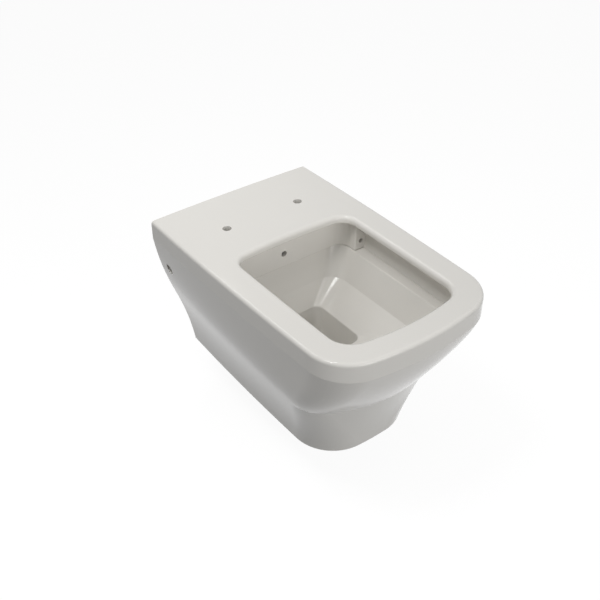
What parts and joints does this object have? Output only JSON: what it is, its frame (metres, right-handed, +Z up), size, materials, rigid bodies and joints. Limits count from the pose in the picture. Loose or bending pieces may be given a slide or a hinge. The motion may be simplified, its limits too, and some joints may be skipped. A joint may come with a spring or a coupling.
{
  "type": "wall hung toilet pan",
  "caption": "Wall hung toilet pan in glazed ceramic, with a squared bowl, hidden side fixings, a water trap and pipe connections at the wall.",
  "frame": {"origin": "on the finished wall, midway between the two wall studs", "axes": "+Z up, -Y out from the wall towards the user, +X to the right as seen by someone facing the pan"},
  "size_m": [0.3468, 0.602, 0.3043],
  "materials": {
    "glazed_china": "clear gloss glaze over warm off-white china",
    "pipe_plastic": "satin black polyethylene",
    "seal_rubber": "matt black rubber",
    "zinc_steel": "bright zinc plating",
    "nylon": "dark grey nylon"
  },
  "bodies": {
    "pan": {"rim_deck": "glazed_china", "outer_skirt": "glazed_china", "bowl_basin": "glazed_china", "sump_well": "glazed_china", "trap_bend": "glazed_china", "outlet_spigot": "glazed_china", "flush_distributor": "glazed_china", "inlet_horn": "glazed_china", "flush_pipe": "pipe_plastic", "flush_seal": "seal_rubber", "waste_connector": "pipe_plastic", "waste_seal": "seal_rubber", "left_wall_stud": "zinc_steel", "left_wall_bracket": "zinc_steel", "left_stud_washer": "zinc_steel", "left_stud_nut": "zinc_steel", "left_screw_bush": "nylon", "right_wall_stud": "zinc_steel", "right_wall_bracket": "zinc_steel", "right_stud_washer": "zinc_steel", "right_stud_nut": "zinc_steel", "right_screw_bush": "nylon"},
    "left_washer": {"left_screw_washer": "zinc_steel"},
    "left_screw": {"left_clamp_screw": "zinc_steel"},
    "right_washer": {"right_screw_washer": "zinc_steel"},
    "right_screw": {"right_clamp_screw": "zinc_steel"}
  },
  "joints": [
    {"name": "left_screw_travel", "type": "slide", "parent": "pan", "child": "left_washer", "axis": [-1, 0, 0], "range_m": [0, 0.01]},
    {"name": "left_screw_turn", "type": "hinge", "parent": "left_washer", "child": "left_screw", "pos_m": [-0.126, -0.035, 0], "axis": [-1, 0, 0], "range_deg": [0, 2880]},
    {"name": "right_screw_travel", "type": "slide", "parent": "pan", "child": "right_washer", "axis": [1, 0, 0], "range_m": [0, 0.01]},
    {"name": "right_screw_turn", "type": "hinge", "parent": "right_washer", "child": "right_screw", "pos_m": [0.126, -0.035, 0], "axis": [1, 0, 0], "range_deg": [0, 2880]}
  ],
  "couplings": [
    {"joint": "left_screw_turn", "follows": "left_screw_travel", "rad_per_m": 5026.5},
    {"joint": "right_screw_turn", "follows": "right_screw_travel", "rad_per_m": 5026.5}
  ]
}
